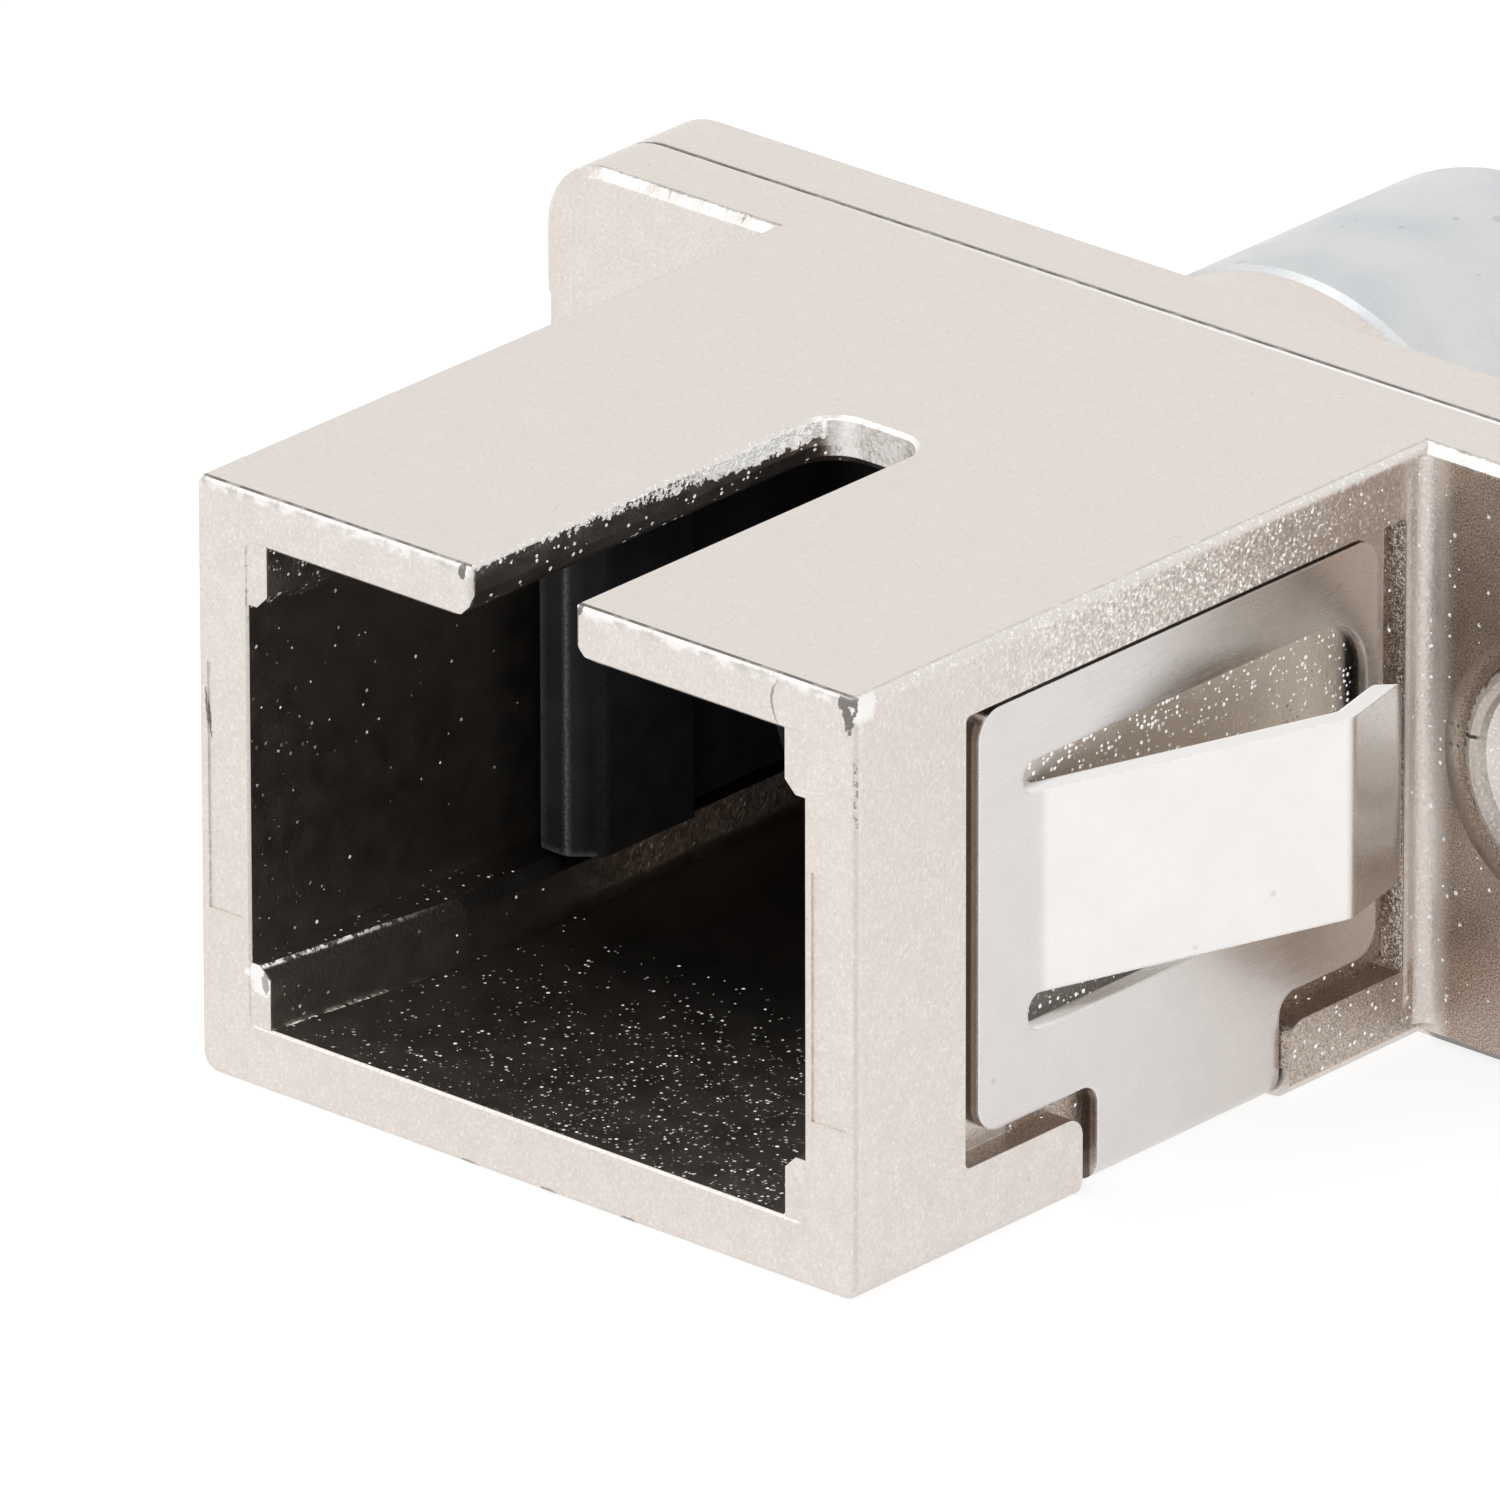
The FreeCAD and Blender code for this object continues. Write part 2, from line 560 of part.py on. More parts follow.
def make_latch():
    base = Part.Face(cavity_outline(0, LATCH_FRONT)).extrude(V(0, LATCH_BASE, 0))
    shape = base.multiFuse(both_sides(latch_hook()) + [sleeve_tube(-1)])
    shape = shape.cut(rod(SLEEVE_R, LATCH_FRONT - EPS, PARTING + EPS))
    roots = [e for e in shape.Edges if abs(e.CenterOfMass.y - LATCH_FRONT) < SAME
             and abs(abs(e.CenterOfMass.x) - ARM_INNER_X) < SAME]
    return shape.makeFillet(ARM_ROOT_R, roots).removeSplitter()


def make_rear_sleeve_holder():
    collar = rod(COLLAR_R, PARTING, COLLAR_BACK).cut(rod(SLEEVE_R, PARTING - EPS, COLLAR_BACK + EPS))
    return collar.fuse(sleeve_tube(1)).removeSplitter()


def make_sleeve():
    y0, y1 = PARTING - SLEEVE_LEN / 2, PARTING + SLEEVE_LEN / 2
    bevel = SLEEVE_BEVEL
    tube = turned([
        (FERRULE_R, y0 + bevel), (FERRULE_R + bevel, y0), (SLEEVE_R, y0),
        (SLEEVE_R, y1), (FERRULE_R + bevel, y1), (FERRULE_R, y1 - bevel)])
    return tube.cut(box(-SLEEVE_SLIT / 2, SLEEVE_SLIT / 2, y0 - EPS, y1 + EPS, 0, SLEEVE_R + EPS))


def main():
    pieces = {
        "sc_housing": make_housing(),
        "rear_flange": make_rear_flange(),
        "bayonet_barrel": make_barrel(),
        "spring_clip": make_clip(),
        "flange_rivets": make_rivets(),
        "inner_latch": make_latch(),
        "rear_sleeve_holder": make_rear_sleeve_holder(),
        "split_sleeve": make_sleeve(),
    }
    os.makedirs("parts", exist_ok=True)
    for name, shape in pieces.items():
        shape.exportStep("parts/" + name + ".step")
        print(name, "solids", len(shape.Solids), "valid", shape.isValid(), "volume", round(shape.Volume, 2))


main()
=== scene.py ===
"""Hybrid fibre adapter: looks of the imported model, in metres and in the model's own frame.

X runs across the square port, Y along the optical axis towards the round port, Z up.
Places inside the materials are in millimetres, because the details are that small.
"""

import functools
import math

import bpy
from mathutils import Matrix, Vector


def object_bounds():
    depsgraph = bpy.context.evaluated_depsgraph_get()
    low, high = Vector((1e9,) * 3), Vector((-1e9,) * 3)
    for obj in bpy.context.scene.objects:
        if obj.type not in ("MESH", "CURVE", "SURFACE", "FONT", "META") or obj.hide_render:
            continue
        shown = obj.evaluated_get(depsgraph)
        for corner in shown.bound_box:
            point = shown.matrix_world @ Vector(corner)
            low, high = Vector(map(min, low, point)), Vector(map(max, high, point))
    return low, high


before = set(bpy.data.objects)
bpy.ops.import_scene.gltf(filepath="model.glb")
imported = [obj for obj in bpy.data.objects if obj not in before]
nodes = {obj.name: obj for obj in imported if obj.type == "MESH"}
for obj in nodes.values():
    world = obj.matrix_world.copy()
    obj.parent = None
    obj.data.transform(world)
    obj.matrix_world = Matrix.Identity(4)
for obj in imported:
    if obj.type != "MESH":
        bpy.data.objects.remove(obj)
cad_low, cad_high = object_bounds()

# The camera of the photograph
CAMERA_AZIMUTH = math.radians(41.407)
CAMERA_ELEVATION = math.radians(23.301)
CAMERA_ROLL = math.radians(-0.102)
CAMERA_PLACE = Vector((0.247579, -0.288443, 0.161684))
CAMERA_SENSOR = 36.0
CAMERA_LENS = 669.354
CAMERA_NEAR = 0.05
CAMERA_FAR = 20.0

# White surroundings, one soft lamp, and a floor that looks white and keeps a soft shadow
WHITE = (1, 1, 1, 1)
ROOM_LIGHT = 0.75           # on the object
ROOM_SEEN = 1.0             # behind the object and in its reflections
LAMP_PLACE = (-0.25, -0.35, 0.55)
LAMP_SIZE = 0.4
LAMP_POWER = 0.75
FLOOR_REACH = 4.0
FLOOR_PLAIN = (0.85, 0.85, 0.85, 1)
FLOOR_SHADED = (0.35, 0.35, 0.35, 1)
FLOOR_GLOW = 0.80

# Colours of the finishes as they look under white light, and of painted light and shade
NICKEL = (0.755, 0.700, 0.655, 1)
# painted highlight on nickel edges, on the slot end and on the brink behind the recess
NICKEL_HIGHLIGHT = (0.93, 0.905, 0.88, 1)
# painted shade of the square port's walls
NICKEL_PORT_SHADE = (0.37, 0.33, 0.295, 1)
# dimmer patches in the painted edge highlight
NICKEL_DIM_HIGHLIGHT = (0.64, 0.60, 0.57, 1)
# painted light on the recess floor in the clip's window, strongest towards its back
NICKEL_POCKET_LIGHT = (0.95, 0.88, 0.78, 1)
# painted shade deep in the port, lighter and browner
NICKEL_DEEP_PORT_SHADE = (0.60, 0.50, 0.43, 1)
# painted brown shade in corners and recesses and on faces near the flange
NICKEL_BROWN_SHADE = (0.44, 0.355, 0.295, 1)
# white of painted glints and highlights, and of bare metal at the chip
GLINT_AND_BARE_METAL = (0.97, 0.96, 0.94, 1)
# dim painted glints deep in the port
DIM_GLINT = (0.10, 0.10, 0.098, 1)
# dark of the ring round the rivets' lip and of the right rivet's split
RIVET_DARK = (0.10, 0.078, 0.062, 1)
# dark of real cracks, chips, notches and joints, and of painted shade in gaps and on edges
SHADE_AND_CRACK_DARK = (0.13, 0.118, 0.108, 1)
ZINC = (0.705, 0.712, 0.705, 1)
ZINC_CLOUD = (0.625, 0.645, 0.665, 1)
STEEL = (0.715, 0.682, 0.662, 1)
# painted highlight on the spring steel
STEEL_HIGHLIGHT = (0.862, 0.838, 0.820, 1)
STEEL_SHADE = (0.520, 0.455, 0.405, 1)
RIVET = (0.700, 0.650, 0.600, 1)
PLASTIC = (0.036, 0.037, 0.042, 1)
# painted highlight on the latch's hooks
PLASTIC_HIGHLIGHT = (0.540, 0.545, 0.570, 1)
CERAMIC = (0.880, 0.870, 0.830, 1)

# Directions that crystals and rough cuts lean to; the first and the last lean away from the middle
SIDE_LEAN = (0.75, -0.55, 0.35)
PORT_LEAN = (0.18, -0.92, 0.33)
SLOT_LEAN = (0.3, -0.3, 0.9)
CUT_LEAN = (0.75, -0.5, 0.43)

# Places on the part, in millimetres
MOUTH = -12.65
BODY_TOP = 4.66
BODY_SIDE = 6.4
CAVITY_SIDE = 5.4
CAVITY_TOP = 3.84           # and as far below the axis
RIB_MOUTH_X = 5.02
RIB_DEEP_X = 4.5
RIB_SLOPE = -0.139          # the rib's face comes in as it goes back
RIB_TOP = -2.85
SLOT_REACH = 1.45
SLOT_END = -4.7
RECESS_FLOOR = 5.95
RECESS_FRONT = -10.25
RECESS_BACK = -0.43
RECESS_TOP = 3.62
RECESS_REACH = 4.4          # above and below the axis, with the channels to the underside
WINDOW_FRONT = -8.8
WINDOW_BACK = -1.15
# the recess floor between these heights gets painted light
PALE_FOOT = -1.1            # heights between which the recess floor is pale
PALE_TOP = 3.0
BLOCK_TOP = -3.5
COVE_FRONT = -0.36
COVE_SIDES = (6.42, 6.8)
PARTING = 1.37
BARREL_BASE = 4.51
CLIP_FACE = 6.25
CLIP_TOP = 3.46
TONGUE_BEND = -3.45
HOOK_LEAD_END = -6.45
RIVET_X = 9.0
RIVET_LIP_R = 1.86
RIVET_SPLIT_Z = 0.25
RIVET_SPLIT_ENDS = (7.0, 7.4)
CHIP_LINE = 6.25            # width plus depth, where the chip runs round the corner
CHIP_ENDS = (4.05, 4.63)
EAR_CRACKS = (-9.05, -8.45, -7.28, -7.0)
FOOT_DENTS = (-1.13, 0.43, 1.97)
FOOT_DENT_Z = -4.80

# Softness of borders, and how far a mask reaches past the face it covers, in millimetres
CRISP = 0.01
SOFT = 0.02
MARGIN = 0.03

# Range that holds most values of a noise
NOISE_LOW = 0.3
NOISE_HIGH = 0.7

FACING = 0.7                # a normal with more than this along an axis looks that way
MM_PER_M = 1000.0


class Graph:
    """A material's node tree, with short calls for the nodes that the finishes share."""

    def __init__(self, name):
        self.material = bpy.data.materials.new(name)
        self.material.use_nodes = True
        self.tree = self.material.node_tree
        self.shader = self.tree.nodes["Principled BSDF"]
        coordinates = self.node("TexCoord").outputs["Object"]
        self.place = self.vector("SCALE", coordinates, scale=MM_PER_M)
        self.x, self.y, self.z = self.split(self.place)
        self.normal = self.node("NewGeometry").outputs["Normal"]
        self.nx, self.ny, self.nz = self.split(self.normal)
        self.across = self.size(self.x)
        self.sideways = self.size(self.nx)

    def node(self, kind, inputs=None, **settings):
        """New node, with inputs that are values or outputs of other nodes."""
        made = self.tree.nodes.new("ShaderNode" + kind)
        for key, value in settings.items():
            setattr(made, key, value)
        for key, value in (inputs or {}).items():
            self.feed(made.inputs[key], value)
        return made

    def feed(self, socket, value):
        """Link or set one input."""
        if isinstance(value, bpy.types.NodeSocket):
            self.tree.links.new(value, socket)
        else:
            socket.default_value = value

    def set(self, **inputs):
        """Inputs of the surface shader, with spaces written as underscores."""
        for key, value in inputs.items():
            self.feed(self.shader.inputs[key.replace("_", " ")], value)

    def split(self, vector):
        """The three parts of a vector or colour."""
        return self.node("SeparateXYZ", {0: vector}).outputs[:]

    def math(self, operation, a, b=0.0):
        """Arithmetic on one or two numbers."""
        return self.node("Math", {0: a, 1: b}, operation=operation).outputs[0]

    def vector(self, operation, a, b=None, scale=None):
        """Arithmetic on vectors that gives a vector."""
        inputs = {0: a}
        if b is not None:
            inputs[1] = b
        if scale is not None:
            inputs["Scale"] = scale
        return self.node("VectorMath", inputs, operation=operation).outputs[0]

    def size(self, value):
        """Number without its sign."""
        return self.math("ABSOLUTE", value)

    def less(self, a, b):
        """Number a less number b."""
        return self.math("SUBTRACT", a, b)

    def sum(self, *values):
        """All the numbers added up."""
        total = values[0]
        for value in values[1:]:
            total = self.math("ADD", total, value)
        return total

    def product(self, *values):
        """All the numbers multiplied, or the area that masks have in common."""
        total = values[0]
        for value in values[1:]:
            total = self.math("MULTIPLY", total, value)
        return total

    def either(self, *masks):
        """Largest of the masks."""
        total = masks[0]
        for mask in masks[1:]:
            total = self.math("MAXIMUM", total, mask)
        return total

    def besides(self, mask):
        """All that the mask leaves."""
        return self.less(1.0, mask)

    def step(self, value, start, end, low=0.0, high=1.0):
        """Smooth step from low, at start, to high, at end."""
        inputs = {"Value": value, "From Min": start, "From Max": end, "To Min": low, "To Max": high}
        return self.node("MapRange", inputs, interpolation_type="SMOOTHSTEP").outputs[0]

    def band(self, value, start, end, soft):
        """1 between start and end, and 0 outside them."""
        return self.near(value, (start + end) / 2, (end - start) / 2, soft)

    def within(self, value, limit, soft):
        """1 where the value's size is below the limit."""
        return self.step(self.size(value), limit - soft, limit + soft, 1.0, 0.0)

    def near(self, value, place, limit, soft):
        """1 where the value is that close to a place."""
        return self.within(self.less(value, place), limit, soft)

    def noise(self, size, detail=2.0, roughness=0.5, place=None):
        """Noise whose features are about that many millimetres across."""
        inputs = {"Vector": place or self.place, "Scale": 1.0 / size}
        inputs.update({"Detail": detail, "Roughness": roughness})
        return self.node("TexNoise", inputs).outputs[0]

    def spread(self, noise, low, high):
        """Noise spread from low to high."""
        return self.step(noise, NOISE_LOW, NOISE_HIGH, low, high)

    @functools.cached_property
    def depth(self):
        """Distance behind the mouth."""
        return self.less(self.y, MOUTH)

    @functools.cached_property
    def level(self):
        """1 on level faces that look up."""
        return self.step(self.nz, 0.9, 0.98)

    @functools.cached_property
    def uneven(self):
        """Noise between -1 and 1 that borders share."""
        return self.spread(self.noise(0.13, roughness=0.65), -1.0, 1.0)

    def ragged(self, reach):
        """Noise between minus and plus that many millimetres, which makes a border uneven."""
        return self.product(self.uneven, reach)

    @functools.cached_property
    def flat(self):
        """Place in the plane of the face, for patterns of two coordinates."""
        side = self.math("GREATER_THAN", self.sideways, FACING)
        end = self.math("GREATER_THAN", self.size(self.ny), FACING)
        across = self.sum(self.product(self.x, self.besides(side)), self.product(self.z, side))
        along = self.sum(self.product(self.y, self.besides(end)), self.product(self.z, end))
        return self.node("CombineXYZ", {0: across, 1: along}).outputs[0]

    def dots(self, scale, least, largest):
        """Round dots of mixed sizes in the cells whose chance passes the least, and a random colour."""
        inputs = {"Vector": self.flat, "Scale": scale}
        cells = self.node("TexVoronoi", inputs, voronoi_dimensions="2D")
        distance, colour = cells.outputs["Distance"], cells.outputs["Color"]
        chance, radius, _ = self.split(colour)
        beyond = self.less(distance, self.product(radius, largest))
        shown = self.math("GREATER_THAN", chance, least)
        return self.product(self.step(beyond, -0.12, 0.02, 1.0, 0.0), shown), colour

    def mix(self, share, a, b):
        """From colour a, at a share of 0, to colour b, at 1."""
        made = self.node("Mix", {0: share, 6: a, 7: b}, data_type="RGBA", clamp_factor=True)
        return made.outputs[2]

    def turn(self, share, a, b):
        """From vector a, at a share of 0, to vector b, at 1."""
        made = self.node("Mix", {0: share, 4: a, 5: b}, data_type="VECTOR", clamp_factor=True)
        return made.outputs[1]

    def dim(self, colour, amount):
        """Colour times a grey amount."""
        inputs = {0: 1.0, 6: colour, 7: amount}
        return self.node("Mix", inputs, data_type="RGBA", blend_type="MULTIPLY").outputs[2]

    def outwards(self, x, y, z):
        """Direction whose x leads away from the part's middle plane on both sides."""
        away = self.product(self.math("SIGN", self.x), x)
        return self.node("CombineXYZ", {0: away, 1: y, 2: z}).outputs[0]

    def rounded(self, radius):
        """Normal of edges rounded by that many millimetres, and a mask of those edges."""
        soft = self.node("Bevel", {"Radius": radius / MM_PER_M}, samples=2).outputs[0]
        inputs = {0: soft, 1: self.normal}
        alike = self.node("VectorMath", inputs, operation="DOT_PRODUCT").outputs["Value"]
        return soft, self.step(alike, 0.995, 0.95)

    def bump(self, height, depth, normal=None):
        """Normal of a height of 0 to 1 that stands for that many millimetres."""
        inputs = {"Height": height, "Distance": depth / MM_PER_M, "Strength": 1.0}
        if normal is not None:
            inputs["Normal"] = normal
        return self.node("Bump", inputs).outputs[0]


class CastingGraph(Graph):
    """Node tree of the plated casting, with its noises and the masks of its areas."""

    def __init__(self, name):
        super().__init__(name)
        self.grain = self.noise(0.06, roughness=0.6)
        self.fine = self.noise(0.028, detail=1.0)
        self.swell = self.noise(0.45, detail=3.0, roughness=0.6)
        self.grains = self.step(self.grain, 0.59, 0.66)
        self.coarse = self.step(self.level, 0.0, 1.0, 1.0, 0.45)
        self.inside = inside_port(self)
        self.slot, self.slot_end = slot_walls(self)
        self.window, self.pocket, self.recess_walls = clip_recess(self)
        self.flat_side = flat_sides(self)
        self.rough_side = rough_sides(self)
        self.brown_shade = brown_shade_share(self)
        self.rib_bevel, self.rib_shine = rib_lines(self)


def inside_port(g):
    """Mask of the square port's walls, behind its mouth and the fronts of its ribs."""
    width = g.within(g.x, CAVITY_SIDE + MARGIN, CRISP)
    height = g.within(g.z, CAVITY_TOP + MARGIN, CRISP)
    length = g.band(g.y, MOUTH + 0.04, PARTING - 0.05, SOFT)
    return g.product(width, height, length, g.step(g.ny, -0.95, -0.8))


def slot_walls(g):
    """Masks of the key slot's walls and of its end."""
    width = g.within(g.x, SLOT_REACH, SOFT)
    height = g.band(g.z, CAVITY_TOP, BODY_TOP - 0.05, 0.015)
    length = g.band(g.y, MOUTH + 0.1, SLOT_END, SOFT)
    through = g.product(width, height, length)
    walls = g.product(through, g.step(g.ny, -0.75, -0.45))
    end = g.product(through, g.step(g.ny, -0.45, -0.75))
    return walls, end


def clip_recess(g):
    """Masks of the recess floor in the clip's window, of the floor below it, and of the walls."""
    length = g.band(g.y, RECESS_FRONT - 0.05, RECESS_BACK + 0.05, SOFT)
    area = g.product(length, g.within(g.z, RECESS_REACH, SOFT))
    floor = g.product(area, g.near(g.across, RECESS_FLOOR, MARGIN, CRISP))
    floor = g.product(floor, g.step(g.y, WINDOW_FRONT - 0.1, WINDOW_FRONT))
    window = g.product(floor, g.band(g.z, PALE_FOOT, PALE_TOP, 0.1))
    window = g.product(window, g.step(g.y, WINDOW_BACK + 0.1, WINDOW_BACK))
    pocket = g.product(floor, g.step(g.z, PALE_FOOT + 0.1, PALE_FOOT - 0.1))
    walls = g.product(area, g.band(g.across, RECESS_FLOOR + 0.02, BODY_SIDE - 0.02, CRISP))
    return window, pocket, walls


def flat_sides(g):
    """Mask of the body's flat sides, round the recesses."""
    return g.product(g.near(g.across, BODY_SIDE, 0.02, CRISP), g.step(g.sideways, 0.94, 0.98))


def rough_sides(g):
    """Mask of the coarse strips above the clip, strongest halfway along."""
    length = g.product(g.step(g.y, -10.5, -6.5), g.step(g.y, -4.0, -1.5, 1.0, 0.4))
    return g.product(g.flat_side, g.step(g.z, 2.0, 3.0), length)


def brown_shade_share(g):
    """Share of painted brown shade: on the sides towards the flange, on the right ear, in the cove and in
    the recesses.
    """
    # painted brown shade on the sides: towards the flange, over the rear block and under the recess's brow
    rear = g.product(g.step(g.y, -9.0, -1.0, 0.0, 0.22), g.step(g.y, -0.6, -0.45, 1.0, 0.3))
    block = g.product(g.step(g.z, BLOCK_TOP + 0.1, BLOCK_TOP - 0.1), g.step(g.y, -4.5, -3.5, 0.0, 0.74))
    brow = g.product(g.step(g.z, RECESS_TOP + 0.13, RECESS_TOP + 0.05), g.step(g.z, 3.0, 3.2))
    brow = g.product(brow, g.step(g.y, -6.5, -5.0, 0.0, 0.3))
    side = g.product(g.flat_side, g.either(rear, block, brow))

    ear = g.product(g.step(g.x, BODY_SIDE + 0.25, BODY_SIDE + 0.6), g.band(g.y, -0.1, 0.35, 0.05))
    ear = g.product(ear, g.step(g.ny, -0.94, -0.98))
    cove = g.product(g.band(g.y, COVE_FRONT, -0.02, SOFT), g.band(g.across, *COVE_SIDES, SOFT))
    cove = g.product(cove, g.within(g.nz, 0.5, 0.1), 0.15)
    recess = g.either(g.product(g.pocket, 0.9), g.product(g.recess_walls, 0.85))
    return g.either(side, ear, cove, recess)


def rib_lines(g):
    """Masks of the lower ribs' bevels, which get painted shade, and of the painted highlight lines on their
    edges and at their feet.
    """
    lower = g.step(g.z, -1.0, -2.0)
    bevel = g.product(lower, g.band(g.nz, 0.55, 0.85, 0.05), g.step(g.sideways, 0.4, 0.6))
    brink = g.product(bevel, g.step(g.z, RIB_TOP - 0.07, RIB_TOP - 0.02))
    rib_x = g.math("MAXIMUM", g.sum(RIB_MOUTH_X, g.product(g.depth, RIB_SLOPE)), RIB_DEEP_X)
    foot = g.product(g.level, lower, g.near(g.across, rib_x, 0.05, SOFT))
    broken = g.product(g.step(g.depth, 4.0, 0.8), g.step(g.uneven, -0.3, 0.3, 0.2, 1.0))
    return bevel, g.product(g.either(brink, foot), broken)


def port_shade(g):
    """Painted shade on the port's walls, browner at the back, and on a floor that darkens inwards."""
    colour = g.mix(g.step(g.depth, 5.5, 8.0), NICKEL_PORT_SHADE, NICKEL_DEEP_PORT_SHADE)
    shadow = g.product(g.level, g.step(g.depth, 3.0, 7.0, 0.3, 1.0))
    colour = g.dim(colour, g.step(shadow, 0.0, 1.0, 1.0, 0.4))
    # painted shade on the lower ribs' bevels
    return g.mix(g.rib_bevel, colour, SHADE_AND_CRACK_DARK)


def mottle(g):
    """Tone round 1: grain and swell, stronger where brown shade is painted and on rough faces, less the
    dark pits.
    """
    plain = g.sum(g.step(g.grain, 0.25, 0.75, -0.05, 0.05), g.spread(g.swell, -0.035, 0.035))
    # fine tone variation where brown shade is painted
    brown_shade = g.product(g.spread(g.fine, -0.4, 0.4), g.brown_shade)
    rough = g.product(g.spread(g.grain, -0.22, 0.22), g.rough_side)
    pits = g.product(g.step(g.grain, 0.33, 0.27), g.step(g.swell, 0.48, 0.58), 0.2)
    return g.less(g.sum(1.0, g.product(plain, g.coarse), brown_shade, rough), pits)


def recess_light_and_shade(g, colour):
    """Painted highlight on the brink behind the recess and on the slot end, painted shadow under the tongue
    and at the window's back, and painted light on the recess floor in the window.
    """
    brink = g.product(g.band(g.y, RECESS_BACK, RECESS_BACK + 0.1, SOFT), g.within(g.z, 4.2, 0.1))
    brink = g.product(brink, g.near(g.across, BODY_SIDE, MARGIN, CRISP))
    # painted highlight on the brink behind the recess and on the slot end
    pale = g.product(g.either(brink, g.slot_end), g.step(g.grain, 0.35, 0.65, 0.5, 1.0))
    colour = g.mix(pale, colour, NICKEL_HIGHLIGHT)
    # painted shadow on the recess floor under the tongue
    tongue_shadow = g.product(g.pocket, g.step(g.z, -2.8, -2.6), g.step(g.y, -4.0, -5.0), 0.9)
    colour = g.mix(tongue_shadow, colour, SHADE_AND_CRACK_DARK)
    # painted light on the recess floor in the window
    floor = g.mix(g.step(g.y, -5.0, -8.5), NICKEL_POCKET_LIGHT, NICKEL)
    colour = g.mix(g.window, colour, floor)
    # painted shadow along the window's back
    back = g.product(g.window, g.step(g.y, WINDOW_BACK - 0.22, WINDOW_BACK - 0.08))
    return g.mix(back, colour, SHADE_AND_CRACK_DARK)


def slot_shine(g):
    """Mask of the painted glints on the grains below the slot's edge, in a strip that widens towards its
    end.
    """
    width = g.sum(g.step(g.y, MOUTH + 0.45, SLOT_END - 0.6, 0.05, 0.34), g.ragged(0.06))
    strip = g.product(g.slot, g.step(g.sum(g.z, width), BODY_TOP - 0.03, BODY_TOP + 0.04))
    return g.product(strip, g.either(g.step(g.grain, 0.42, 0.52), g.step(g.y, -8.5, -6.5, 0.0, 0.8)))


def port_crystals(g):
    """How densely crystals cover the port: most on the right of the floor and on the upper ribs."""
    lip = g.step(g.depth, 2.2, 0.3)
    near_mouth = g.step(g.depth, 6.5, 3.0)
    upper_rib = g.product(g.step(g.z, 2.6, 2.9), lip, g.step(g.sideways, 0.4, 0.7))
    floor = g.product(g.level, near_mouth, g.step(g.x, -4.0, 1.5, 0.08, 0.24))
    return g.sum(g.product(near_mouth, 0.015), floor, g.product(lip, 0.03), g.product(upper_rib, 0.25))


def crystals(g):
    """Mask of the crystals that lie on the plating, their colour of painted glints, and a random colour of
    each.
    """
    patchy = g.product(g.band(g.brown_shade, 0.06, 0.78, 0.05), 0.09)
    density = g.sum(g.product(g.inside, port_crystals(g)), g.product(g.slot, 0.11), patchy)
    density = g.sum(density, g.product(g.window, 0.4), g.product(g.pocket, 0.1), g.product(g.brown_shade, 0.02))
    cells_per_mm = g.step(g.inside, 0.0, 1.0, 12.5, 15.0)
    shown, chance = g.dots(cells_per_mm, least=g.besides(density), largest=0.5)
    speckled = g.either(g.inside, g.slot, g.window, g.step(g.brown_shade, 0.0, 0.1))
    # painted highlight lines on the ribs and below the slot's edge
    lines = g.either(g.product(g.rib_shine, g.inside), slot_shine(g))
    mask = g.either(g.product(shown, speckled), lines, g.product(g.grains, g.rough_side, 0.8))

    # painted glints, from dim to white inside the port
    light = g.split(chance)[2]
    colour = g.mix(g.product(light, light, g.inside), DIM_GLINT, GLINT_AND_BARE_METAL)
    colour = g.mix(g.either(g.besides(g.inside), g.rib_shine), colour, GLINT_AND_BARE_METAL)
    return mask, colour, chance


def grain_glints(g):
    """Share of painted glints on the grains outside the port, less on level faces and where brown shade is
    painted.
    """
    outside = g.besides(g.either(g.inside, g.slot))
    share = g.product(g.step(g.level, 0.0, 1.0, 0.3, 0.12), g.step(g.brown_shade, 0.0, 0.4, 1.0, 0.6))
    return g.product(g.grains, outside, share)


